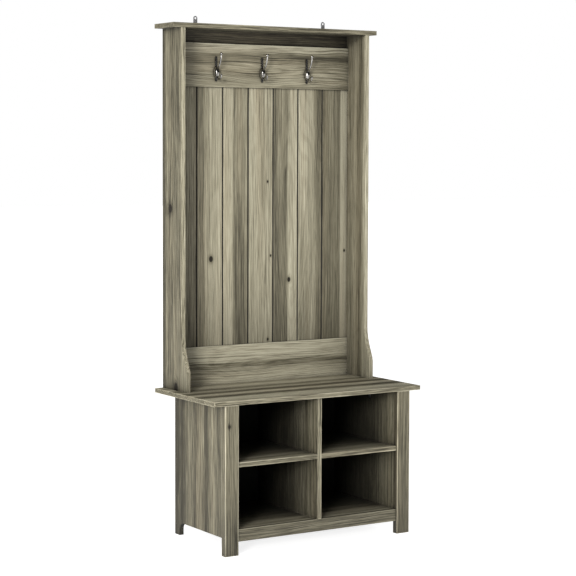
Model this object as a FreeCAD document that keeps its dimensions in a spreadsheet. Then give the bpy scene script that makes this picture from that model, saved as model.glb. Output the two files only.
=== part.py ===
import FreeCAD, Part
import os
import Sketcher
from FreeCAD import Placement, Rotation, Vector

# Hall tree: a low bench with four open cubbies carries a hutch with a planked back,
# a rail of three coat hooks and a top board. Millimetres, +Z up, front towards -Y,
# origin on the floor under the middle of the overall box.

SIZES = {
    # boards
    "board": 15,
    "half_width": 400,
    "front": 200,
    "rear": 198.5,
    # bench
    "seat_top": 497,
    "leg_inner": 309,
    "leg_width": 50,
    "leg_depth": 24,
    "leg_setback": 4,
    "board_ease": 1,
    "leg_ease": 2,
    "apron_setback": 10,
    "apron_low": 43,
    "apron_tall": 40,
    "divider_setback": 9,
    "shelf_low": 282,
    "foot_depth": 32,
    "foot_radius": 25,
    "hardboard": 3,
    "hardboard_inset": 11,
    "hardboard_low": 60,
    "groove_depth": 5,
    "groove_play": 0.2,
    # hutch
    "top_surface": 1700,
    "top_depth": 130,
    "hutch_inner": 355,
    "side_depth": 127.5,
    "flare_depth": 161.5,
    "flare_low": 68,
    "flare_high": 142,
    "flare_cove": 190,
    "flare_round": 60,
    "rail_back": 7,
    "hook_rail_low": 1498,
    "hook_rail_tall": 145,
    "low_rail_tall": 130,
    "plank_thick": 9,
    "plank_pitch": 100,
    "plank_lap": 10,
    "vee_width": 6,
    "vee_deep": 4,
    "cleat_thick": 12,
    # coat hooks
    "hook_pitch": 180,
    "hook_low": 1516,
    "strap_tall": 84,
    "strap_width": 7,
    "strap_thick": 3,
    "boss_half_width": 11,
    "boss_half_tall": 18,
    "boss_proud": 14,
    "boss_centre": 1547,
    "prong_radius": 2.8,
    "hat_bend": 60,
    "hat_out": 36,
    "hat_tip": 1607,
    "hat_ball": 5.2,
    "coat_bend": 14,
    "coat_out": 36,
    "coat_tip": 1537,
    "coat_ball": 3.8,
    # wall tabs
    "tab_left": -246,
    "tab_right": 262,
    "tab_width": 15,
    "tab_thick": 1.5,
    "tab_low": 1650,
    "tab_centre": 1725.5,
    "tab_hole": 3.5,
    # hardware
    "dowel_radius": 4,
    "dowel_end": 10,
    "dowel_deep": 20,
    "cam_radius": 7.5,
    "cam_deep": 12,
    "cam_reach": 34,
    "cam_mouth": 4,
    "stud_radius": 3,
    "stud_thread": 10,
    "joint_screw_radius": 2.6,
    "joint_screw_long": 50,
    "joint_head_radius": 4.8,
    "joint_head_tall": 3.5,
    "small_screw_radius": 1.4,
    "small_head_radius": 2.7,
    "small_head_tall": 1.4,
    "small_screw_long": 12,
    "nail_radius": 0.8,
    "nail_head_radius": 2.2,
    "nail_head_tall": 0.8,
    "nail_long": 15,
    "play": 0.1,
}


class Size:
    """A length that carries its value and the spreadsheet expression that drives it."""

    def __init__(self, value, text):
        self.value = value
        self.text = text

    def joined(self, sign, other, value):
        return Size(value, f"({self.text} {sign} {sized(other).text})")

    def __add__(self, other):
        return self.joined("+", other, self.value + sized(other).value)

    def __sub__(self, other):
        return self.joined("-", other, self.value - sized(other).value)

    def __mul__(self, other):
        return self.joined("*", other, self.value * sized(other).value)

    def __truediv__(self, other):
        return self.joined("/", other, self.value / sized(other).value)

    def __neg__(self):
        return Size(-self.value, f"(0 - {self.text})")


def sized(number):
    return number if isinstance(number, Size) else Size(float(number), repr(float(number)))


def fill_sheet(doc):
    """Writes every size into the spreadsheet and returns them by name."""
    sheet = doc.addObject("Spreadsheet::Sheet", "Dims")
    for row, (name, value) in enumerate(SIZES.items(), 1):
        sheet.set(f"A{row}", name)
        sheet.set(f"B{row}", str(value))
        sheet.setAlias(f"B{row}", name)
    doc.recompute()
    return {name: Size(float(value), f"Dims.{name}") for name, value in SIZES.items()}


doc = FreeCAD.newDocument("hall_tree")
D = fill_sheet(doc)

AXES = {
    "+X": Rotation(Vector(0, 1, 0), 90),
    "-X": Rotation(Vector(0, 1, 0), -90),
    "+Y": Rotation(Vector(1, 0, 0), -90),
    "-Y": Rotation(Vector(1, 0, 0), 90),
    "+Z": Rotation(),
    "-Z": Rotation(Vector(1, 0, 0), 180),
}


def drive(thing, prop, size):
    thing.setExpression(prop, sized(size).text)


def place(thing, spot, rotation=Rotation()):
    """Puts a thing at a spot given by three sizes, turned by a fixed rotation."""
    thing.Placement = Placement(Vector(*[sized(s).value for s in spot]), rotation)
    for letter, size in zip("xyz", spot):
        if isinstance(size, Size):
            drive(thing, f"Placement.Base.{letter}", size)
    return thing


def step(spot, axis, size):
    """The spot moved along an axis such as +X by a size."""
    moved = list(spot)
    number = "XYZ".index(axis[1])
    amount = sized(size) if axis[0] == "+" else -sized(size)
    moved[number] = sized(moved[number]) + amount
    return tuple(moved)


def rod(name, spot, axis, radius, length):
    """A cylinder from a spot along an axis."""
    thing = doc.addObject("Part::Cylinder", name)
    drive(thing, "Radius", radius)
    drive(thing, "Height", length)
    return place(thing, spot, AXES[axis])


def taper(name, spot, axis, wide, narrow):
    """A cone from wide to narrow over a small screw head's height."""
    thing = doc.addObject("Part::Cone", name)
    drive(thing, "Radius1", wide)
    drive(thing, "Radius2", narrow)
    drive(thing, "Height", D["small_head_tall"])
    return place(thing, spot, AXES[axis])


def cut(name, base, tool):
    thing = doc.addObject("Part::Cut", name)
    thing.Base = base
    thing.Tool = tool
    return thing


def fused(name, shapes):
    thing = doc.addObject("Part::MultiFuse", name)
    thing.Shapes = shapes
    return thing


def grouped(name, shapes):
    thing = doc.addObject("Part::Compound", name)
    thing.Links = shapes
    return thing


def finished(node, blank):
    """The blank with all its bores taken out, under the node's own name."""
    cutters = kit.bores.get(node, [])
    if cutters:
        tool = grouped(f"{node}_bores", cutters) if len(cutters) > 1 else cutters[0]
        blank = cut(node, blank, tool)
    blank.Label = node
    return blank


# ---- sketched boards ----


def sketch_on(body, name, role):
    sketch = body.newObject("Sketcher::SketchObject", name)
    plane = [part for part in body.Origin.OriginFeatures if part.Role == role][0]
    sketch.AttachmentSupport = [(plane, "")]
    sketch.MapMode = "FlatFace"
    return sketch


def outline(sketch, corners):
    """A closed outline whose corners are each held by two driven distances from the origin."""
    spots = [Vector(sized(a).value, sized(b).value, 0) for a, b in corners]
    count = len(spots)
    first = sketch.GeometryCount
    for i in range(count):
        sketch.addGeometry(Part.LineSegment(spots[i], spots[(i + 1) % count]))
    for i in range(count):
        here, after = first + i, first + (i + 1) % count
        sketch.addConstraint(Sketcher.Constraint("Coincident", here, 2, after, 1))
    for i, corner in enumerate(corners):
        for kind, size in zip(("DistanceX", "DistanceY"), corner):
            value = sized(size).value
            number = sketch.addConstraint(Sketcher.Constraint(kind, -1, 1, first + i, 1, value))
            if isinstance(size, Size):
                sketch.setExpression(f"Constraints[{number}]", size.text)


def padded(name, role, corners, thickness):
    body = doc.addObject("PartDesign::Body", name)
    sketch = sketch_on(body, f"{name}_outline", role)
    outline(sketch, corners)
    pad = body.newObject("PartDesign::Pad", f"{name}_pad")
    pad.Profile = sketch
    drive(pad, "Length", thickness)
    doc.recompute()
    return body


def slotted(body, name, role, outlines, length=None):
    """Cuts closed outlines both ways from an origin plane, right through or over a length."""
    sketch = sketch_on(body, name, role)
    for corners in outlines:
        outline(sketch, corners)
    before = body.Shape.Volume
    pocket = body.newObject("PartDesign::Pocket", f"{name}_cut")
    pocket.Profile = sketch
    pocket.Midplane = True
    if length is None:
        pocket.Type = "ThroughAll"
    else:
        drive(pocket, "Length", length)
    doc.recompute()
    if body.Shape.Volume > before - 1:
        raise ValueError(f"{name} cut nothing")
    return body


def rounded(body, name, radius, wanted):
    """Rounds the edges of the body's tip whose middle passes the wanted test."""
    tip = body.Tip
    names = []
    for number, edge in enumerate(tip.Shape.Edges, 1):
        middle = edge.valueAt((edge.FirstParameter + edge.LastParameter) / 2)
        if wanted(middle, edge):
            names.append(f"Edge{number}")
    if not names:
        raise ValueError(f"{name} found no edge")
    fillet = body.newObject("PartDesign::Fillet", name)
    fillet.Base = (tip, names)
    drive(fillet, "Radius", radius)
    doc.recompute()
    return body


def box_corners(low_a, high_a, low_b, high_b):
    return [(low_a, low_b), (high_a, low_b), (high_a, high_b), (low_a, high_b)]


def flat_board(name, x, y, low):
    """A level board: x and y are (low, high) pairs, low is its underside."""
    body = padded(name, "XY_Plane", box_corners(*x, *y), D["board"])
    return place(body, (0, 0, low))


def facing_board(name, x, z, back, thickness):
    """An upright board facing the front: back is the Y of its rear face."""
    body = padded(name, "XZ_Plane", box_corners(*x, *z), thickness)
    return place(body, (0, back, 0))


def edge_board(name, corners, left, thickness):
    """An upright board seen from the side: corners are (Y, Z), left its low X."""
    body = padded(name, "YZ_Plane", corners, thickness)
    return place(body, (left, 0, 0))


# ---- shared heights and planes ----

seat_low = D["seat_top"] - D["board"]
leg_front = D["leg_setback"] - D["front"]
leg_back = leg_front + D["leg_depth"]
apron_front = D["apron_setback"] - D["front"]
apron_back = apron_front + D["board"]
divider_front = D["divider_setback"] - D["front"]
floor_top = D["apron_low"] + D["apron_tall"]
floor_low = floor_top - D["board"]
panel_rear = D["rear"] - D["hardboard_inset"]
panel_face = panel_rear - D["hardboard"]
shelf_back = panel_face - D["groove_play"] / 2
bench_outer = D["leg_inner"] + D["board"]
hutch_outer = D["hutch_inner"] + D["board"]
crown_low = D["top_surface"] - D["board"]
rail_rear = D["rear"] - D["rail_back"]
rail_face = rail_rear - D["board"]
plank_rear = rail_rear
plank_face = plank_rear - D["plank_thick"]
hook_rail_high = D["hook_rail_low"] + D["hook_rail_tall"]
low_rail_high = D["seat_top"] + D["low_rail_tall"]
plank_low = low_rail_high - D["plank_lap"]
plank_high = D["hook_rail_low"] + D["plank_lap"]
half_board = D["board"] / 2
SIDES = {"left": -1, "right": 1}


def mirrored(sign, low, high):
    """A (low, high) pair on the right, or its mirror image on the left."""
    return (low, high) if sign > 0 else (-high, -low)


# ---- hardware with its bores ----


class Kit:
    """Collects the fasteners by node, and the bores they need by board."""

    def __init__(self):
        self.parts = {}
        self.bores = {}

    def number(self, node):
        return len(self.parts.get(node, [])) + 1

    def add(self, node, shape):
        self.parts.setdefault(node, []).append(shape)

    def bore(self, boards, cutter):
        for board in boards:
            self.bores.setdefault(board, []).append(cutter)

    def dowel(self, face, axis, near, far, boards):
        """A wooden dowel across a joint face, near into one board and far into the next."""
        name = f"dowel_{self.number('dowels')}"
        start = step(face, axis, -sized(near))
        length = sized(near) + far
        self.add("dowels", rod(name, start, axis, D["dowel_radius"], length))
        play = D["play"]
        bore_start = step(start, axis, -play)
        self.bore(boards, rod(f"{name}_bore", bore_start, axis, D["dowel_radius"] + play, length + play * 2))

    def cam(self, face, into, axis, board, mate):
        """A cam let into a board's face, pulling on a stud screwed into the mate beyond its end."""
        number = self.number("cam_locks")
        play, reach, radius = D["play"], D["cam_reach"], D["stud_radius"]
        middle = step(face, into, half_board)
        disc = rod(f"cam_disc_{number}", face, into, D["cam_radius"], D["cam_deep"])
        mouth_start = step(middle, axis, -D["cam_mouth"])
        mouth = rod(f"cam_mouth_{number}", mouth_start, axis, D["cam_mouth"], D["cam_radius"] * 2)
        self.add("cam_locks", cut(f"cam_lock_{number}", disc, mouth))
        neck = step(middle, axis, reach)
        shank = rod(f"stud_shank_{number}", middle, axis, radius, reach)
        thread = rod(f"stud_thread_{number}", neck, axis, radius, D["stud_thread"])
        self.add("cam_studs", fused(f"cam_stud_{number}", [shank, thread]))
        pocket_long = D["cam_deep"] + play + 1
        pocket = rod(f"cam_pocket_{number}", step(face, into, -1), into, D["cam_radius"] + play, pocket_long)
        way = rod(f"stud_way_{number}", middle, axis, radius + play * 5, reach + 1)
        grip = rod(f"stud_grip_{number}", step(neck, axis, -1), axis, radius + play, D["stud_thread"] + 1.5)
        self.bore([board], pocket)
        self.bore([board], way)
        self.bore([mate], grip)

    def joint_screw(self, node, face, axis, sunk, mate):
        """A joint screw through one board, its head sunk in the face, into the end of the mate."""
        name = f"{node}_{self.number(node)}"
        play, tall, long = D["play"], D["joint_head_tall"], D["joint_screw_long"]
        shank = rod(f"{name}_shank", face, axis, D["joint_screw_radius"], long)
        head = rod(f"{name}_head", face, axis, D["joint_head_radius"], tall)
        self.add(node, fused(name, [shank, head]))
        outside = step(face, axis, -1)
        self.bore([sunk, mate], rod(f"{name}_bore", outside, axis, D["joint_screw_radius"] + play, long + 2))
        self.bore([sunk], rod(f"{name}_sink", outside, axis, D["joint_head_radius"] + play, tall + play + 1))

    def flush_screw(self, node, face, axis, plate, mate):
        """A small countersunk screw, flush with a metal plate's face and driven into the mate."""
        name = f"{node}_{self.number(node)}"
        play = D["play"]
        shank = rod(f"{name}_shank", face, axis, D["small_screw_radius"], D["small_screw_long"])
        head = taper(f"{name}_head", face, axis, D["small_head_radius"], D["small_screw_radius"])
        self.add(node, fused(name, [shank, head]))
        clear = D["small_screw_radius"] + play
        self.bore([plate, mate], rod(f"{name}_bore", face, axis, clear, D["small_screw_long"] + 1))
        self.bore([plate], taper(f"{name}_sink", face, axis, D["small_head_radius"] + play, clear))

    def nail(self, face, mate):
        """A flat-headed nail driven forwards through the hardboard, its head let in flush."""
        name = f"back_nail_{self.number('back_nails')}"
        play, tall = D["play"], D["nail_head_tall"]
        shank = rod(f"{name}_shank", face, "-Y", D["nail_radius"], D["nail_long"])
        head = rod(f"{name}_head", face, "-Y", D["nail_head_radius"], tall)
        self.add("back_nails", fused(name, [shank, head]))
        outside = step(face, "+Y", 1)
        hole = rod(f"{name}_bore", outside, "-Y", D["nail_radius"] + play, D["nail_long"] + 2)
        sink = rod(f"{name}_sink", outside, "-Y", D["nail_head_radius"] + play, tall + play + 1)
        self.bore(["bench_back", mate], hole)
        self.bore(["bench_back"], sink)


kit = Kit()


def fit_bench_hardware():
    shelf_mid = D["shelf_low"] + half_board
    floor_mid = floor_low + half_board
    for side, sign in SIDES.items():
        out = "+X" if sign > 0 else "-X"
        wall, leg, shelf = f"bench_side_{side}", f"leg_{side}", f"shelf_{side}"
        inner = D["leg_inner"] * sign
        middle = (D["leg_inner"] + half_board) * sign
        for height in (100, 250, 400):
            kit.dowel((middle, leg_back, height), "-Y", D["dowel_deep"], D["dowel_end"], [wall, leg])
        for depth in (60, 300):
            for board, height in (("bench_floor", floor_mid), (shelf, shelf_mid)):
                spot = (inner, D["rear"] - depth, height)
                kit.dowel(spot, out, D["dowel_deep"], D["dowel_end"], [board, wall])
        apron_spot = (inner, apron_front + half_board, D["apron_low"] + D["apron_tall"] / 2)
        kit.dowel(apron_spot, out, D["dowel_deep"], D["dowel_end"], ["apron", leg])
        for depth in (70, 230):
            kit.cam((inner, D["rear"] - depth, seat_low - D["cam_reach"]), out, "+Z", wall, "bench_top")
        for across in (80, 230):
            kit.nail((across * sign, panel_rear, shelf_mid), shelf)
    for depth in (60, 300):
        spot = (-half_board, D["rear"] - depth, shelf_mid)
        reach = D["dowel_deep"] + D["board"]
        kit.dowel(spot, "+X", D["dowel_deep"], reach, ["shelf_left", "divider", "shelf_right"])
    for depth in (110, 250):
        low_spot = (0, D["rear"] - depth, floor_top)
        kit.dowel(low_spot, "+Z", D["dowel_end"], D["dowel_deep"], ["bench_floor", "divider"])
        high_spot = (0, D["rear"] - depth, seat_low)
        kit.dowel(high_spot, "+Z", D["dowel_deep"], D["dowel_end"], ["divider", "bench_top"])
    for across in (-240, -120, 0, 120, 240):
        kit.nail((across, panel_rear, floor_mid), "bench_floor")


def fit_hutch_hardware():
    for side, sign in SIDES.items():
        out = "+X" if sign > 0 else "-X"
        wall = f"hutch_side_{side}"
        inner = D["hutch_inner"] * sign
        middle = (D["hutch_inner"] + half_board) * sign
        for depth in (35, 100):
            spot_y = D["rear"] - depth
            kit.joint_screw("crown_screws", (middle, spot_y, D["top_surface"]), "-Z", "top_board", wall)
            kit.joint_screw("seat_screws", (middle, spot_y, seat_low), "+Z", "bench_top", wall)
        cam_x = (D["hutch_inner"] - D["cam_reach"]) * sign
        for rail, height in (
            ("hook_rail", D["hook_rail_low"] + 34),
            ("hook_rail", hook_rail_high - 28),
            ("low_rail", D["seat_top"] + 28),
            ("low_rail", low_rail_high - 34),
        ):
            kit.cam((cam_x, rail_rear, height), "-Y", out, rail, wall)
        cleat_spot = (inner, D["rear"] - D["cleat_thick"] / 2, hook_rail_high + 21)
        kit.dowel(cleat_spot, out, D["dowel_deep"], D["dowel_end"], ["top_cleat", wall])


# ---- bench boards ----


def groove_strip():
    """Y range of the groove that holds the hardboard back."""
    return panel_face - D["groove_play"] / 2, panel_rear + D["groove_play"] / 2


def make_bench_top():
    x = (-D["half_width"], D["half_width"])
    body = flat_board("bench_top_blank", x, (-D["front"], D["rear"]), seat_low)
    rounded(body, "bench_top_ease", D["board_ease"], lambda middle, edge: True)
    groove = box_corners(*groove_strip(), -1, D["groove_depth"])
    reach = (D["leg_inner"] + D["groove_depth"]) * 2
    return slotted(body, "bench_top_groove", "YZ_Plane", [groove], reach)


def make_bench_side(side, sign):
    foot_front = D["rear"] - D["foot_depth"]
    corners = [
        (D["rear"], 0),
        (D["rear"], seat_low),
        (leg_back, seat_low),
        (leg_back, D["apron_low"]),
        (foot_front, D["apron_low"]),
        (foot_front, 0),
    ]
    left = mirrored(sign, D["leg_inner"], bench_outer)[0]
    name = f"bench_side_{side}_blank"
    body = edge_board(name, corners, left, D["board"])
    corner_y = foot_front.value
    low = SIZES["apron_low"]
    rounded(
        body,
        f"{name}_arch",
        D["foot_radius"],
        lambda middle, edge: abs(middle.y - corner_y) < 0.01 and abs(middle.z - low) < 0.01,
    )
    inner = (0, D["groove_depth"]) if sign > 0 else (D["board"] - D["groove_depth"], D["board"])
    start, end = groove_strip()
    slotted(body, f"{name}_groove", "XY_Plane", [box_corners(*inner, start, end)])
    return body


def make_leg(side, sign):
    x = mirrored(sign, D["leg_inner"], D["leg_inner"] + D["leg_width"])
    body = facing_board(f"leg_{side}_blank", x, (0, seat_low), leg_back, D["leg_depth"])
    upright = lambda middle, edge: abs(edge.tangentAt(edge.FirstParameter).z) > 0.9
    return rounded(body, f"leg_{side}_rounding", D["leg_ease"], upright)


def make_bench_boards():
    inner = D["leg_inner"]
    shelf_y = (apron_front, shelf_back)
    across = (-inner, inner)
    middle_corners = box_corners(divider_front, shelf_back, floor_top, seat_low)
    boards = {
        "bench_top": make_bench_top(),
        "apron": facing_board("apron_blank", across, (D["apron_low"], floor_top), apron_back, D["board"]),
        "bench_floor": flat_board("bench_floor_blank", across, (apron_back, shelf_back), floor_low),
        "divider": edge_board("divider_blank", middle_corners, -half_board, D["board"]),
    }
    for side, sign in SIDES.items():
        boards[f"bench_side_{side}"] = make_bench_side(side, sign)
        boards[f"leg_{side}"] = make_leg(side, sign)
        shelf_x = mirrored(sign, half_board, inner)
        boards[f"shelf_{side}"] = flat_board(f"shelf_{side}_blank", shelf_x, shelf_y, D["shelf_low"])
    reach = inner + D["groove_depth"] - D["groove_play"]
    high = seat_low + D["groove_depth"] - D["groove_play"]
    boards["bench_back"] = facing_board(
        "bench_back_blank", (-reach, reach), (D["hardboard_low"], high), panel_rear, D["hardboard"]
    )
    return boards


# ---- hutch boards ----


def make_hutch_side(side, sign):
    slim = D["rear"] - D["side_depth"]
    deep = D["rear"] - D["flare_depth"]
    base = D["seat_top"]
    corners = [
        (D["rear"], base),
        (D["rear"], crown_low),
        (slim, crown_low),
        (slim, base + D["flare_high"]),
        (deep, base + D["flare_low"]),
        (deep, base),
    ]
    name = f"hutch_side_{side}_blank"
    left = mirrored(sign, D["hutch_inner"], hutch_outer)[0]
    body = edge_board(name, corners, left, D["board"])
    for label, radius, height in (
        ("cove", D["flare_cove"], base + D["flare_high"]),
        ("round", D["flare_round"], base + D["flare_low"]),
    ):
        rounded(body, f"{name}_{label}", radius, lambda middle, edge: abs(middle.z - height.value) < 0.01)
    return body


def plank_slot(side, sign):
    """The stopped groove in a hutch side that holds the end of the planked panel."""
    gap = D["groove_play"] / 2
    slot = doc.addObject("Part::Box", f"plank_slot_{side}")
    drive(slot, "Length", D["groove_depth"] + 1)
    drive(slot, "Width", D["plank_thick"] + gap * 2)
    drive(slot, "Height", plank_high - plank_low + gap * 2)
    left = mirrored(sign, D["hutch_inner"] - 1, D["hutch_inner"] + D["groove_depth"])[0]
    return place(slot, (left, plank_face - gap, plank_low - gap))


def make_planked_panel():
    reach = D["hutch_inner"] + D["groove_depth"] - D["groove_play"]
    thick = D["plank_thick"]
    body = facing_board("planks_blank", (-reach, reach), (plank_low, plank_high), plank_rear, thick)
    half_vee = D["vee_width"] / 2
    face = -D["plank_thick"]
    vees = []
    for number in (-2.5, -1.5, -0.5, 0.5, 1.5, 2.5):
        line = D["plank_pitch"] * number
        vees.append([(line - half_vee, face), (line + half_vee, face), (line, face + D["vee_deep"])])
    return slotted(body, "planks_vees", "XY_Plane", vees)


def make_rail(name, low, high, rebate_low, rebate_high):
    """A rail between the hutch sides, rebated behind where the planked panel laps it."""
    inner = D["hutch_inner"]
    body = facing_board(f"{name}_blank", (-inner, inner), (low, high), rail_rear, D["board"])
    lip = -(D["plank_thick"] + D["groove_play"] / 2)
    return slotted(body, f"{name}_rebate", "YZ_Plane", [box_corners(lip, 1, rebate_low, rebate_high)])


def make_top_board():
    x = (-D["half_width"], D["half_width"])
    y = (D["rear"] - D["top_depth"], D["rear"])
    body = flat_board("top_board_blank", x, y, crown_low)
    return rounded(body, "top_board_ease", D["board_ease"], lambda middle, edge: True)


def make_hutch_boards():
    gap = D["groove_play"] / 2
    across = (-D["hutch_inner"], D["hutch_inner"])
    cleat_z = (hook_rail_high, crown_low)
    upper, lower = D["hook_rail_low"], D["seat_top"]
    boards = {
        "top_board": make_top_board(),
        "planks": make_planked_panel(),
        "hook_rail": make_rail("hook_rail", upper, hook_rail_high, upper - 1, plank_high + gap),
        "low_rail": make_rail("low_rail", lower, low_rail_high, plank_low - gap, low_rail_high + 1),
        "top_cleat": facing_board("top_cleat_blank", across, cleat_z, D["rear"], D["cleat_thick"]),
    }
    for side, sign in SIDES.items():
        boards[f"hutch_side_{side}"] = make_hutch_side(side, sign)
        kit.bore([f"hutch_side_{side}"], plank_slot(side, sign))
    return boards


# ---- coat hooks and wall tabs ----

FRONT_UP = Rotation(Vector(0, -1, 0), Vector(0, 0, 1), Vector(-1, 0, 0), "XYZ")


def bent_bar(name, centre, bend, sweep):
    """Round bar bent in a side plane, ending upright at the front and sweeping back underneath."""
    arc = doc.addObject("Part::Torus", name)
    drive(arc, "Radius1", bend)
    drive(arc, "Radius2", D["prong_radius"])
    arc.Angle3 = sweep
    return place(arc, centre, FRONT_UP.multiply(Rotation(Vector(0, 0, 1), -sweep)))


def ball(name, centre, radius):
    thing = doc.addObject("Part::Sphere", name)
    drive(thing, "Radius", radius)
    return place(thing, centre)


def solid_box(name, corner, length, width, height):
    thing = doc.addObject("Part::Box", name)
    drive(thing, "Length", length)
    drive(thing, "Width", width)
    drive(thing, "Height", height)
    return place(thing, corner)


def make_boss(name, x):
    """The domed front half of an egg shape standing on the strap."""
    half_wide, half_tall, proud = D["boss_half_width"], D["boss_half_tall"], D["boss_proud"]
    egg = doc.addObject("Part::Ellipsoid", f"{name}_egg")
    drive(egg, "Radius1", half_tall)
    drive(egg, "Radius2", half_wide)
    drive(egg, "Radius3", proud)
    strap_face = rail_face - D["strap_thick"]
    place(egg, (x, strap_face, D["boss_centre"]))
    corner = (x - half_wide - 1, strap_face - proud - 1, D["boss_centre"] - half_tall - 1)
    depth = proud + D["strap_thick"] + 1
    keep = solid_box(f"{name}_keep", corner, half_wide * 2 + 2, depth, half_tall * 2 + 2)
    dome = doc.addObject("Part::Common", f"{name}_boss")
    dome.Base = egg
    dome.Tool = keep
    return dome


def make_hook(name, x):
    """A double coat hook: strap, domed boss, long hat prong above and short coat prong below."""
    half = D["strap_width"] / 2
    thick = D["strap_thick"]
    low_z = D["hook_low"] + half
    high_z = D["hook_low"] + D["strap_tall"] - half
    strap = solid_box(f"{name}_strap", (x - half, rail_face - thick, low_z), half * 2, thick, high_z - low_z)
    ends = [
        rod(f"{name}_{label}_end", (x, rail_face, end_z), "-Y", half, thick)
        for label, end_z in (("low", low_z), ("high", high_z))
    ]
    hat_y = rail_face - D["hat_out"]
    coat_y = rail_face - D["coat_out"]
    prongs = [
        bent_bar(f"{name}_hat_prong", (x, hat_y + D["hat_bend"], D["hat_tip"]), D["hat_bend"], 56),
        ball(f"{name}_hat_tip", (x, hat_y, D["hat_tip"]), D["hat_ball"]),
        bent_bar(f"{name}_coat_prong", (x, coat_y + D["coat_bend"], D["coat_tip"]), D["coat_bend"], 165),
        ball(f"{name}_coat_tip", (x, coat_y, D["coat_tip"]), D["coat_ball"]),
    ]
    for end_z in (low_z, high_z):
        kit.flush_screw("hook_screws", (x, rail_face - thick, end_z), "+Y", name, "hook_rail")
    return fused(f"{name}_blank", [strap, make_boss(name, x)] + ends + prongs)


def make_wall_tab(name, x):
    """A flat steel tab with a round, holed head above the top board."""
    half = D["tab_width"] / 2
    back = D["rear"] + D["tab_thick"]
    corner = (x - half, D["rear"], D["tab_low"])
    strip = solid_box(f"{name}_strip", corner, half * 2, D["tab_thick"], D["tab_centre"] - D["tab_low"])
    head = rod(f"{name}_head", (x, back, D["tab_centre"]), "-Y", half, D["tab_thick"])
    eye = rod(f"{name}_eye", (x, back + 1, D["tab_centre"]), "-Y", D["tab_hole"], D["tab_thick"] + 2)
    kit.bore([name], eye)
    kit.flush_screw("tab_screws", (x, back, D["tab_low"] + 12), "-Y", name, "top_cleat")
    kit.flush_screw("tab_screws", (x, back, crown_low + half_board), "-Y", name, "top_board")
    return fused(f"{name}_blank", [strip, head])


# ---- assembly ----


def assemble():
    blanks = {**make_bench_boards(), **make_hutch_boards()}
    fit_bench_hardware()
    fit_hutch_hardware()
    for label, pitches in (("left", -1), ("centre", 0), ("right", 1)):
        name = f"hook_{label}"
        blanks[name] = make_hook(name, D["hook_pitch"] * pitches)
    for side in SIDES:
        name = f"wall_tab_{side}"
        blanks[name] = make_wall_tab(name, D[f"tab_{side}"])
    nodes = {name: finished(name, blank) for name, blank in blanks.items()}
    for name, shapes in kit.parts.items():
        nodes[name] = grouped(name, shapes)
    doc.recompute()
    return nodes


def export(nodes):
    for thing in doc.Objects:
        bad = [state for state in thing.State if state in ("Invalid", "Error")]
        if bad:
            raise ValueError(f"{thing.Name} is {bad}")
    os.makedirs("parts", exist_ok=True)
    for name, thing in nodes.items():
        shape = thing.Shape
        if shape.isNull() or not shape.isValid() or not shape.Solids:
            raise ValueError(f"{name} has no valid solid")
        shape.exportStep(f"parts/{name}.step")
        print(name, len(shape.Solids), round(shape.Volume))


export(assemble())
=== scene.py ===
import math
import random

import bmesh
import bpy
from mathutils import Matrix, Vector


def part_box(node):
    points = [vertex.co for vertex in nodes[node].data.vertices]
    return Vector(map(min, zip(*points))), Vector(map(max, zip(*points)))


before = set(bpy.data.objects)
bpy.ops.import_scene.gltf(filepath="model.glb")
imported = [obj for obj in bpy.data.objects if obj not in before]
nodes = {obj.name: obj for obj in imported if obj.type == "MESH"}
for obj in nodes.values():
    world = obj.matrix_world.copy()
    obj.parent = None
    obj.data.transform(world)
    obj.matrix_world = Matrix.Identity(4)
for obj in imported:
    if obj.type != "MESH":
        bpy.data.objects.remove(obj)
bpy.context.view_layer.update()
MM = 0.001


# ---- shader graphs ----


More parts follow.
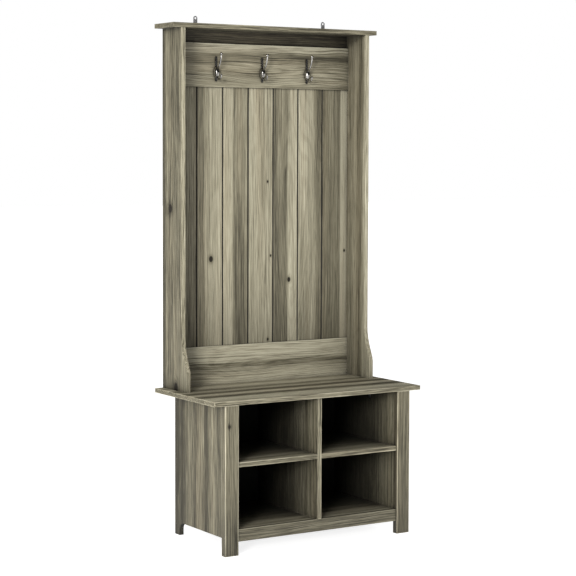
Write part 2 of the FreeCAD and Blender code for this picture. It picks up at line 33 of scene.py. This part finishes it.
class Graph:
    """A material's node tree, built up from sockets and plain numbers."""

    def __init__(self, name):
        self.material = bpy.data.materials.new(name)
        self.material.use_nodes = True
        self.tree = self.material.node_tree
        self.shader = self.tree.nodes["Principled BSDF"]
        self.spot = self.node("ShaderNodeTexCoord").outputs["Object"]

    def node(self, kind, **settings):
        made = self.tree.nodes.new(kind)
        for key, value in settings.items():
            setattr(made, key, value)
        return made

    def plug(self, socket, value):
        if isinstance(value, bpy.types.NodeSocket):
            self.tree.links.new(value, socket)
        else:
            socket.default_value = value

    def math(self, operation, *values, clamp=False):
        made = self.node("ShaderNodeMath", operation=operation, use_clamp=clamp)
        for socket, value in zip(made.inputs, values):
            self.plug(socket, value)
        return made.outputs[0]

    def split(self, vector):
        made = self.node("ShaderNodeSeparateXYZ")
        self.plug(made.inputs[0], vector)
        return list(made.outputs)

    def vector(self, *parts):
        made = self.node("ShaderNodeCombineXYZ")
        for socket, part in zip(made.inputs, parts):
            self.plug(socket, part)
        return made.outputs[0]

    def noise(self, vector, scales, detail=2.0, roughness=0.5):
        """Noise with its own scale along each axis, about 0.5 on average."""
        stretch = self.node("ShaderNodeVectorMath", operation="MULTIPLY")
        self.plug(stretch.inputs[0], vector)
        stretch.inputs[1].default_value = scales
        made = self.node("ShaderNodeTexNoise")
        self.plug(made.inputs["Vector"], stretch.outputs[0])
        made.inputs["Scale"].default_value = 1.0
        made.inputs["Detail"].default_value = detail
        made.inputs["Roughness"].default_value = roughness
        return made.outputs[0]

    def smooth(self, value, low, high, start=0.0, end=1.0):
        made = self.node("ShaderNodeMapRange", interpolation_type="SMOOTHSTEP")
        for socket, number in zip(made.inputs, (value, low, high, start, end)):
            self.plug(socket, number)
        return made.outputs[0]

    def ramp(self, factor, stops):
        """A colour ramp through (position, colour) stops."""
        made = self.node("ShaderNodeValToRGB")
        self.plug(made.inputs[0], factor)
        band = made.color_ramp
        for _ in range(len(stops) - 2):
            band.elements.new(0.5)
        for element, (position, colour) in zip(band.elements, stops):
            element.position = position
            element.color = colour
        return made.outputs[0]

    def bands(self, place, stops):
        """Straight lines through (millimetres, value) stops along one axis."""
        low, high = stops[0][0] * MM, stops[-1][0] * MM
        made = self.node("ShaderNodeFloatCurve")
        offset = self.math("SUBTRACT", place, low)
        self.plug(made.inputs["Value"], self.math("DIVIDE", offset, high - low, clamp=True))
        curve = made.mapping.curves[0]
        for _ in range(len(stops) - 2):
            curve.points.new(0.5, 0.5)
        for point, (spot, value) in zip(curve.points, stops):
            point.location = ((spot * MM - low) / (high - low), value)
            point.handle_type = "VECTOR"
        made.mapping.update()
        return made.outputs[0]

    def between(self, factor, first, second):
        """A number that goes from first to second as the factor goes from 0 to 1."""
        return self.math("MULTIPLY_ADD", factor, self.math("SUBTRACT", second, first), first)

    def mix(self, factor, first, second, blend="MIX"):
        made = self.node("ShaderNodeMix", data_type="RGBA", blend_type=blend)
        self.plug(made.inputs["Factor"], factor)
        self.plug(made.inputs[6], first)
        self.plug(made.inputs[7], second)
        return made.outputs[2]

    def open_sky(self, reach):
        """1 where a surface is open, falling towards 0 in corners and hollows."""
        made = self.node("ShaderNodeAmbientOcclusion", samples=6)
        made.inputs["Distance"].default_value = reach
        return made.outputs["AO"]

    def dim(self, colour, light):
        """The colour times a number from 0 to 1."""
        return self.mix(1.0, colour, self.vector(light, light, light), "MULTIPLY")

    def bump(self, height, distance):
        made = self.node("ShaderNodeBump")
        made.inputs["Distance"].default_value = distance
        self.plug(made.inputs["Height"], height)
        self.plug(self.shader.inputs["Normal"], made.outputs[0])

    def set(self, **values):
        for name, value in values.items():
            self.plug(self.shader.inputs[name.replace("_", " ")], value)


def srgb(red, green, blue, gain=1.0):
    """An 8-bit display colour as the linear colour that a shader takes."""
    def linear(value):
        value /= 255
        return value / 12.92 if value <= 0.04045 else ((value + 0.055) / 1.055) ** 2.4

    return (linear(red) * gain, linear(green) * gain, linear(blue) * gain, 1.0)


# ---- the grey-olive laminate ----

# The print's colours by tone, with a gain that makes up for the light falling on the boards.
GAIN = 1.25
TONES = [
    (0.0, srgb(52, 49, 38, GAIN)),
    (0.2, srgb(82, 78, 64, GAIN)),
    (0.45, srgb(120, 115, 96, GAIN)),
    (0.7, srgb(152, 147, 127, GAIN)),
    (1.0, srgb(186, 181, 159, GAIN)),
]
KNOT_COLOUR = srgb(34, 29, 20)
GROOVE_COLOUR = srgb(22, 20, 15)
WARM_TINT = (1.0, 0.88, 0.78, 1.0)

AXIS = {"X": 0, "Y": 1, "Z": 2}
# Metres over which painted shade darkens a board where it is shut in, and along its joints.
CUBBY_REACH = 0.4
JOINT_REACH = 0.018
# Metres by which the edges of the strips waver.
STRIP_WAVER = 0.002
# A knot's length over its width, and the pitch of the growth rings.
KNOT_STRETCH = 1.4
RING_PITCH = 190.0
# Depths at which a groove starts to darken and is dark, and how near a rear face counts as on it.
GROOVE_EDGE = 0.1 * MM
GROOVE_DARK = 0.9 * MM
SKIN = 0.2 * MM


def edge_distance(graph, low, high):
    """Metres from the nearest edge of a box, for a point on one of its faces."""
    gaps = []
    for part, start, end in zip(graph.split(graph.spot), low, high):
        from_start = graph.math("SUBTRACT", part, start)
        from_end = graph.math("SUBTRACT", end, part)
        gaps.append(graph.math("MINIMUM", from_start, from_end))
    least = graph.math("MINIMUM", gaps[0], gaps[1])
    most = graph.math("MAXIMUM", gaps[0], gaps[1])
    return graph.math("MAXIMUM", least, graph.math("MINIMUM", most, gaps[2]))


def knot_field(graph, along, wide, knot):
    """1 at a knot's middle, falling away around it in an oval along the grain."""
    at_along, at_wide, radius = (value * MM for value in knot)
    length = graph.math("DIVIDE", graph.math("SUBTRACT", along, at_along), radius * KNOT_STRETCH)
    width = graph.math("DIVIDE", graph.math("SUBTRACT", wide, at_wide), radius)
    square = graph.math(
        "ADD", graph.math("MULTIPLY", length, length), graph.math("MULTIPLY", width, width)
    )
    return graph.math("DIVIDE", 1.0, graph.math("ADD", square, 1.0))


def hollow_shade(graph, power):
    """Painted shade along a board's joints and where it is shut in, down to black deep in a cubby.
    """
    open_sky = graph.open_sky(CUBBY_REACH)
    shut_in = graph.math("POWER", open_sky, power)
    deep = graph.math("MULTIPLY", shut_in, graph.smooth(open_sky, 0.08, 0.32))
    corner = graph.smooth(graph.open_sky(JOINT_REACH), 0.35, 0.85, 0.5, 1.0)
    return graph.math("MULTIPLY", deep, corner)


def wander(graph, parts, seed, sway):
    """A board's own place in the noise, that place with its streaks bent, and the bend."""
    shift = random.Random(seed)
    offsets = [shift.uniform(-40, 40) for _ in range(3)]

    def moved(spots):
        return graph.vector(*(graph.math("ADD", *pair) for pair in zip(spots, offsets)))

    along, wide, thin = parts
    place = moved(parts)
    meander = graph.math("SUBTRACT", graph.noise(place, (2.6, 9.0, 9.0), 2.0), 0.5)
    bent_wide = graph.math("MULTIPLY_ADD", meander, sway, wide)
    return place, moved((along, bent_wide, thin)), meander


def strip_tone(graph, along, wide, bands, far_bands, fade):
    """The tone of the print's strips, before any grain."""
    tone = graph.bands(wide, bands)
    if far_bands:
        reach = graph.smooth(along, fade[0] * MM, fade[1] * MM)
        tone = graph.between(reach, tone, graph.bands(wide, far_bands))
    return tone


def on_edge(graph, thin_axis):
    """1 on a board's edges and 0 on its two broad faces."""
    normal = graph.split(graph.node("ShaderNodeNewGeometry").outputs["Normal"])[thin_axis]
    return graph.smooth(graph.math("ABSOLUTE", normal), 0.3, 0.7, 1.0, 0.0)


def rim_wear_and_highlight(graph, name, place):
    """1 in patches along a board's edges, partly worn print and partly a painted highlight."""
    low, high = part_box(name)
    rim = graph.smooth(edge_distance(graph, low, high), 0.001, 0.004, 1.0, 0.0)
    patches = graph.smooth(graph.noise(place, (9.0, 30.0, 30.0)), 0.15, 0.6)
    return graph.math("MULTIPLY", rim, patches)


def laminate(
    name, grain, across, bands, seed, far_bands=None, fade=(0, 1), edge_tone=None,
    knots=(), wear_and_highlight=0.1, figure=1.0, brown=0.0, shade=1.0, curl=0.06, sway=0.016,
):
    """Printed wood grain on one board. grain and across name its axes.

    bands are the strips across the grain, and far_bands take over from them along it, between
    the two places of fade, in mm. edge_tone is the tone of the board's edges, and a knot is
    (mm along, mm across, radius in mm). The rim setting lightens the rims, partly as worn print
    and partly as a painted highlight, figure scales the streaks, brown warms the colour, shade
    sets how strongly painted shade darkens joints and hollows, curl darkens the growth rings,
    and sway is how far in metres the streaks wander.
    """
    graph = Graph(name)
    thin_axis = 3 - AXIS[grain] - AXIS[across]
    spot = graph.split(graph.spot)
    along, wide, thin = spot[AXIS[grain]], spot[AXIS[across]], spot[thin_axis]
    place, bent, meander = wander(graph, (along, wide, thin), seed, sway)

    waver = graph.math("MULTIPLY_ADD", meander, STRIP_WAVER, wide)
    tone = strip_tone(graph, along, waver, bands, far_bands, fade)
    if edge_tone is not None:
        tone = graph.between(on_edge(graph, thin_axis), tone, edge_tone)

    field = graph.noise(bent, (0.9, 7.0, 7.0), 1.0, 0.4)
    cores = 0.0
    for knot in knots:
        near = knot_field(graph, along, wide, knot)
        field = graph.math("MULTIPLY_ADD", near, 0.2, field)
        tone = graph.math("ADD", graph.smooth(near, 0.06, 0.3, 0.0, -0.16), tone)
        cores = graph.math("MAXIMUM", graph.smooth(near, 0.3, 0.5), cores)
    rings = graph.math("SINE", graph.math("MULTIPLY", field, RING_PITCH))
    rings = graph.smooth(rings, 0.1, 1.0)
    ring_share = graph.smooth(graph.noise(place, (1.1, 12.0, 12.0)), 0.42, 0.62)

    broad = graph.math("SUBTRACT", graph.noise(bent, (1.6, 34.0, 34.0), 2.0, 0.55), 0.5)
    medium = graph.math("SUBTRACT", graph.noise(bent, (4.2, 290.0, 290.0), 3.0, 0.7), 0.5)
    fibre = graph.math("SUBTRACT", graph.noise(bent, (16.0, 700.0, 700.0), 2.0, 0.6), 0.5)
    hairs = graph.smooth(graph.noise(bent, (3.2, 360.0, 360.0), 1.0), 0.58, 0.66)
    pores = graph.smooth(graph.noise(bent, (14.0, 420.0, 420.0), 1.0), 0.6, 0.72)
    layers = ((broad, 0.22), (medium, 1.1), (fibre, 0.8), (hairs, -0.3), (pores, -0.16))
    for layer, amount in layers:
        tone = graph.math("MULTIPLY_ADD", layer, amount * figure, tone)
    tone = graph.math("MULTIPLY_ADD", graph.math("MULTIPLY", rings, ring_share), -curl, tone)
    # Lighter rims, partly worn print and partly a painted highlight along the edges.
    tone = graph.math("MULTIPLY_ADD", rim_wear_and_highlight(graph, name, place), wear_and_highlight, tone)

    colour = graph.ramp(tone, TONES)
    clouds = graph.noise(bent, (0.8, 16.0, 16.0), 2.0)
    warmth = graph.smooth(clouds, 0.45, 0.75, brown, brown + 0.3)
    colour = graph.mix(warmth, colour, graph.mix(1.0, colour, WARM_TINT, "MULTIPLY"))
    if knots:
        colour = graph.mix(cores, colour, KNOT_COLOUR)
    # Painted shade: the colour darkens along joints and in hollows, to black deep in the cubbies.
    colour = graph.dim(colour, hollow_shade(graph, shade))
    rough = graph.math("MULTIPLY_ADD", medium, 0.25, 0.6)
    rough = graph.math("MULTIPLY_ADD", rings, 0.05, rough)
    graph.set(Base_Color=colour, Roughness=rough, Specular_IOR_Level=0.3)
    pitted = graph.math("MULTIPLY_ADD", pores, -0.5, medium)
    graph.bump(graph.math("MULTIPLY_ADD", fibre, 0.8, pitted), 0.0005)
    return graph, colour


def even(tone):
    """The bands of a board that is one tone all over."""
    return [(0, tone), (1, tone)]


# Strips of light and dark print, as (mm across the grain, tone) stops from dark 0 to light 1.
# The divider's strips also hold painted light and painted shade.
PLANKS_LOW = [
    (-305, 0.72), (-290, 0.42), (-230, 0.38), (-215, 0.56), (-140, 0.74), (-112, 0.7), (-108, 0.32),
    (-80, 0.22), (-52, 0.4), (-46, 0.62), (50, 0.62), (56, 0.28), (80, 0.28), (106, 0.36),
    (112, 0.76), (148, 0.74), (165, 0.54), (215, 0.62), (232, 0.34), (325, 0.48), (330, 1.0),
]
PLANKS_HIGH = [
    (-305, 0.72), (-290, 0.46), (-225, 0.38), (-212, 0.56), (-140, 0.68), (-112, 0.64), (-108, 0.4),
    (-80, 0.5), (-52, 0.42), (-46, 0.64), (-25, 0.7), (10, 0.54), (50, 0.64), (56, 0.22),
    (70, 0.4), (106, 0.4), (112, 0.66), (155, 0.76), (210, 0.6), (232, 0.3), (290, 0.46),
    (325, 0.42), (330, 1.0),
]
PLANK_KNOTS = [
    (921, -195, 6), (841, 115, 5), (926, 41, 2.5), (1180, 28, 2.5), (638, 30, 3), (935, 345, 3),
]
HOOK_RAIL_LEFT = [(1498, 0.52), (1580, 0.52), (1602, 0.42), (1626, 0.84), (1643, 0.84)]
HOOK_RAIL_RIGHT = [(1498, 0.46), (1516, 0.64), (1578, 0.6), (1605, 0.18), (1628, 0.9), (1643, 1.0)]
LOW_RAIL = [(497, 0.98), (520, 0.9), (560, 0.46), (576, 0.88), (604, 0.92), (627, 0.8)]
BENCH_TOP = [
    (-200, 0.56), (-160, 0.74), (-125, 0.94), (-98, 0.26), (-80, 0.22), (-50, 0.86), (-36, 0.84),
    (-10, 0.18), (2, 0.18), (30, 0.8), (64, 0.34), (104, 0.94), (120, 0.96), (155, 0.6), (180, 0.96),
]
BENCH_SIDE = [
    (-172, 0.42), (-130, 0.5), (-90, 0.28), (-55, 0.5), (-30, 0.32), (-9, 0.04), (5, 0.38),
    (48, 0.4), (61, 0.16), (92, 0.4), (122, 0.26), (147, 0.02), (165, 0.12), (199, 0.02),
]
BENCH_SIDE_RIGHT = [(-172, 0.42), (-90, 0.46), (-50, 0.36), (0, 0.4), (199, 0.3)]
SHELF = [(-190, 0.86), (-146, 0.6), (-128, 0.86), (-88, 0.52), (-66, 0.74), (-40, 0.6)]
# Partly print and partly painted light: lighter from -100 to -60 mm, painted shade front and back.
DIVIDER_PRINT_AND_LIGHT = [(-191, 0.28), (-138, 0.48), (-124, 0.32), (-100, 0.54), (-60, 0.54), (0, 0.34)]
HUTCH_LEFT = [
    (36, 0.56), (70, 0.46), (78, 0.36), (100, 0.38), (148, 0.28), (160, 0.46), (170, 0.44),
    (184, 0.16), (199, 0.1),
]
HUTCH_RIGHT = [(36, 0.76), (76, 0.78), (98, 0.36), (108, 0.4), (130, 0.66), (150, 0.54)]

CUBBY_SHELF = dict(
    grain="X", across="Y", bands=SHELF, shade=0.35, edge_tone=0.31, figure=1.2, wear_and_highlight=0.3
)
BOARDS = {
    "planks": dict(
        grain="Z", across="X", bands=PLANKS_LOW, far_bands=PLANKS_HIGH, fade=(980, 1200),
        figure=0.8, knots=PLANK_KNOTS,
    ),
    "hook_rail": dict(
        grain="X", across="Z", bands=HOOK_RAIL_LEFT, far_bands=HOOK_RAIL_RIGHT, fade=(-260, 230),
        curl=0.14, sway=0.05,
    ),
    "low_rail": dict(
        grain="X", across="Z", bands=LOW_RAIL, figure=1.2, shade=0.5, curl=0.12, sway=0.03
    ),
    # The cleat is dark brown, partly as painted shade under the top board, darkest right under it.
    "top_cleat": dict(
        grain="X", across="Z", bands=[(1643, 0.22), (1668, 0.22), (1685, 0.1)], brown=0.35
    ),
    "top_board": dict(grain="X", across="Y", bands=even(0.29)),
    "bench_top": dict(
        grain="X", across="Y", bands=BENCH_TOP, figure=1.3, shade=0.3, edge_tone=0.36, wear_and_highlight=0.3
    ),
    "apron": dict(grain="X", across="Z", bands=even(0.42), wear_and_highlight=0.2),
    "bench_floor": dict(grain="X", across="Y", bands=SHELF, shade=0.35, figure=1.3),
    "shelf_left": CUBBY_SHELF,
    "shelf_right": CUBBY_SHELF,
    "divider": dict(
        grain="Z", across="Y", bands=DIVIDER_PRINT_AND_LIGHT, shade=0.35, edge_tone=0.4, figure=1.3, wear_and_highlight=0.3
    ),
    "bench_side_left": dict(grain="Z", across="Y", bands=BENCH_SIDE, figure=1.2, shade=0.35),
    "bench_side_right": dict(grain="Z", across="Y", bands=BENCH_SIDE_RIGHT, shade=0.35),
    "leg_left": dict(
        grain="Z", across="X", bands=even(0.37), knots=((415, -344, 3.5),), wear_and_highlight=0.6, figure=0.8
    ),
    "leg_right": dict(grain="Z", across="X", bands=even(0.34), wear_and_highlight=0.6, figure=0.8),
    "hutch_side_left": dict(
        grain="Z", across="Y", bands=HUTCH_LEFT, figure=1.2, knots=((1095, 146, 9), (506, 108, 10)),
        wear_and_highlight=0.1, edge_tone=0.58,
    ),
    "hutch_side_right": dict(
        grain="Z", across="Y", bands=HUTCH_RIGHT, wear_and_highlight=0.15, shade=0.7, edge_tone=0.69
    ),
}


def fibreboard(graph):
    """The tone of clouds, pressed fibres and darker flecks together, and the fibres alone."""
    fibres = graph.noise(graph.spot, (260.0, 260.0, 900.0), 4.0, 0.65)
    clouds = graph.noise(graph.spot, (7.0, 7.0, 7.0), 3.0)
    flecks = graph.smooth(graph.noise(graph.spot, (110.0, 110.0, 60.0), 2.0), 0.56, 0.68)
    blend = graph.math("MULTIPLY_ADD", clouds, 0.5, graph.math("MULTIPLY", fibres, 0.5))
    return graph.math("MULTIPLY_ADD", flecks, -0.12, blend), fibres


def is_back(graph, name):
    """1 on the rearmost face of a node."""
    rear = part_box(name)[1][1]
    return graph.math("GREATER_THAN", graph.split(graph.spot)[1], rear - SKIN)


def finish_planks(graph, colour):
    """Darkens the grooves between the planks and leaves the back face raw board."""
    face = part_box("planks")[0][1]
    groove = graph.smooth(graph.split(graph.spot)[1], face + GROOVE_EDGE, face + GROOVE_DARK)
    colour = graph.mix(groove, colour, GROOVE_COLOUR)
    raw = graph.ramp(fibreboard(graph)[0], [(0.3, srgb(112, 86, 57)), (0.65, srgb(160, 129, 92))])
    graph.set(Base_Color=graph.mix(is_back(graph, "planks"), colour, raw))


def hardboard():
    """Thin fibreboard, brown outside; inside the cubbies it is dark, partly as painted shade."""
    graph = Graph("hardboard")
    blend, fibres = fibreboard(graph)
    inside = graph.ramp(blend, [(0.3, srgb(52, 49, 40)), (0.7, srgb(74, 70, 58))])
    outside = graph.ramp(blend, [(0.3, srgb(92, 69, 46)), (0.65, srgb(134, 104, 72))])
    # Painted shade darkens the inside face to black deep in the cubbies.
    inside = graph.dim(inside, hollow_shade(graph, 1.0))
    colour = graph.mix(is_back(graph, "bench_back"), inside, outside)
    graph.set(Base_Color=colour, Roughness=0.8, Specular_IOR_Level=0.25)
    graph.bump(fibres, 0.0002)
    return graph.material


def metal(name, light, dark, rough, streak=(60.0, 60.0, 60.0), bump=0.00004):
    """Bare or plated metal with faint tarnish and uneven polish."""
    graph = Graph(name)
    tarnish = graph.noise(graph.spot, streak, 4.0, 0.6)
    fine = graph.noise(graph.spot, (900.0, 900.0, 900.0), 2.0)
    graph.set(
        Base_Color=graph.ramp(tarnish, [(0.3, dark), (0.65, light)]),
        Metallic=1.0,
        Roughness=graph.smooth(tarnish, 0.3, 0.75, rough + 0.1, rough),
    )
    graph.bump(fine, bump)
    return graph.material


def beech():
    """Plain dowel wood with fine grain."""
    graph = Graph("beech")
    grain = graph.noise(graph.spot, (300.0, 300.0, 300.0), 3.0)
    colour = graph.ramp(grain, [(0.3, srgb(172, 132, 88)), (0.7, srgb(204, 168, 122))])
    graph.set(Base_Color=colour, Roughness=0.7)
    graph.bump(grain, 0.0001)
    return graph.material


def cast_zinc():
    return metal(
        "cast_zinc", srgb(150, 150, 152), srgb(108, 108, 110), 0.5, (240.0, 240.0, 240.0), 0.0001
    )


def dress(material, *names):
    for name in names:
        for slot in nodes[name].material_slots:
            slot.material = material


def dress_all():
    for seed, (name, recipe) in enumerate(BOARDS.items(), 11):
        graph, colour = laminate(name, seed=seed, **recipe)
        if name == "planks":
            finish_planks(graph, colour)
        dress(graph.material, name)
    dress(hardboard(), "bench_back")
    dress(beech(), "dowels")
    dress(cast_zinc(), "cam_locks")
    zinc_plate = metal("zinc_plate", srgb(190, 190, 192), srgb(140, 141, 145), 0.32)
    dress(zinc_plate, "cam_studs", "crown_screws", "seat_screws", "back_nails", "tab_screws")
    tab_steel = metal("tab_steel", srgb(236, 236, 238), srgb(196, 197, 200), 0.55)
    dress(tab_steel, "wall_tab_left", "wall_tab_right")
    nickel = metal("nickel", srgb(184, 182, 178), srgb(92, 90, 87), 0.13, (90.0, 90.0, 90.0))
    dress(nickel, "hook_left", "hook_centre", "hook_right", "hook_screws")


# ---- studio ----

# Angles are turns from straight ahead or from level, and places are in metres. WORLD_IN_GLOSS
# and WORLD_SEEN are the world's brightness to polished metal and to the camera.
LAMP_COLOUR = (1.0, 0.985, 0.955)
KEY_TO_LEFT = math.radians(47)
KEY_HEIGHT = math.radians(14)
PANEL_PLACE = Vector((-1.25, -0.85, 1.35))
PANEL_AIM = Vector((0.0, 0.1, 0.95))
WORLD_GREY = (0.36, 0.36, 0.37, 1.0)
WORLD_IN_GLOSS = 0.02
WORLD_SEEN = 1.0
CAMERA_AIM = Vector((0.0, 0.1985, 1.2963))
CAMERA_BACK = 6.107
CAMERA_ASIDE = 0.1027
CAMERA_TURN = math.radians(32.26)
CAMERA_PITCH = math.radians(3.381)
CAMERA_ROLL = math.radians(0.18)


def place_object(name, data):
    placed = bpy.data.objects.new(name, data)
    bpy.context.collection.objects.link(placed)
    return placed


def make_floor():
    """A plain pale floor that glows a little, so that it stays near white."""
    mesh = bpy.data.meshes.new("floor")
    work = bmesh.new()
    bmesh.ops.create_grid(work, x_segments=8, y_segments=8, size=30.0)
    work.to_mesh(mesh)
    work.free()
    graph = Graph("studio_floor")
    cloud = graph.noise(graph.spot, (0.8, 0.8, 0.8), 2.0)
    colour = graph.ramp(cloud, [(0.3, srgb(246, 246, 246)), (0.7, srgb(250, 250, 250))])
    graph.set(Base_Color=colour, Roughness=0.9, Emission_Strength=0.8)
    graph.set(Emission_Color=(1.0, 1.0, 1.0, 1.0))
    mesh.materials.append(graph.material)
    floor = place_object("floor", mesh)


def make_key_light():
    sun = bpy.data.lights.new("key", "SUN")
    sun.energy = 1.9
    sun.angle = math.radians(14)
    sun.color = LAMP_COLOUR
    level = math.cos(KEY_HEIGHT)
    across, ahead = math.sin(KEY_TO_LEFT) * level, math.cos(KEY_TO_LEFT) * level
    towards = Vector((-across, -ahead, math.sin(KEY_HEIGHT)))
    place_object("key", sun).rotation_euler = towards.to_track_quat("Z", "Y").to_euler()


def make_softbox():
    panel = bpy.data.lights.new("softbox", "AREA")
    panel.shape = "RECTANGLE"
    panel.size, panel.size_y = 0.35, 1.2
    panel.energy = 9.0
    panel.color = LAMP_COLOUR
    box = place_object("softbox", panel)
    box.location = PANEL_PLACE
    box.rotation_euler = (PANEL_AIM - PANEL_PLACE).to_track_quat("-Z", "Y").to_euler()


def make_world():
    """Grey light all round, near black in polished metal and white behind the object."""
    world = bpy.data.worlds.new("studio")
    world.use_nodes = True
    bpy.context.scene.world = world
    tree = world.node_tree
    rays = tree.nodes.new("ShaderNodeLightPath")
    colour = None
    for ray, level in (("Is Glossy Ray", WORLD_IN_GLOSS), ("Is Camera Ray", WORLD_SEEN)):
        choice = tree.nodes.new("ShaderNodeMix")
        choice.data_type = "RGBA"
        choice.inputs[6].default_value = WORLD_GREY
        choice.inputs[7].default_value = (level, level, level, 1.0)
        tree.links.new(rays.outputs[ray], choice.inputs["Factor"])
        if colour:
            tree.links.new(colour, choice.inputs[6])
        colour = choice.outputs[2]
    tree.links.new(colour, tree.nodes["Background"].inputs["Color"])


def make_camera():
    camera = bpy.data.cameras.new("camera")
    camera.sensor_width = 36.0
    camera.lens = 111.5
    camera.shift_y = -0.0608
    camera.clip_end = 100.0
    level = Vector((math.sin(CAMERA_TURN), math.cos(CAMERA_TURN), 0.0))
    side = Vector((math.cos(CAMERA_TURN), -math.sin(CAMERA_TURN), 0.0))
    rise = Vector((0.0, 0.0, 1.0))
    ahead = level * math.cos(CAMERA_PITCH) - rise * math.sin(CAMERA_PITCH)
    above = level * math.sin(CAMERA_PITCH) + rise * math.cos(CAMERA_PITCH)
    right = side * math.cos(CAMERA_ROLL) + above * math.sin(CAMERA_ROLL)
    upper = above * math.cos(CAMERA_ROLL) - side * math.sin(CAMERA_ROLL)
    matrix = Matrix((right, upper, -ahead)).transposed().to_4x4()
    matrix.translation = CAMERA_AIM - level * CAMERA_BACK + side * CAMERA_ASIDE
    viewer = place_object("camera", camera)
    viewer.matrix_world = matrix
    bpy.context.scene.camera = viewer


make_camera()
make_key_light()
make_softbox()
make_world()
make_floor()
dress_all()

scene = bpy.context.scene
scene.view_settings.view_transform = "Standard"
scene.cycles.diffuse_bounces = 2
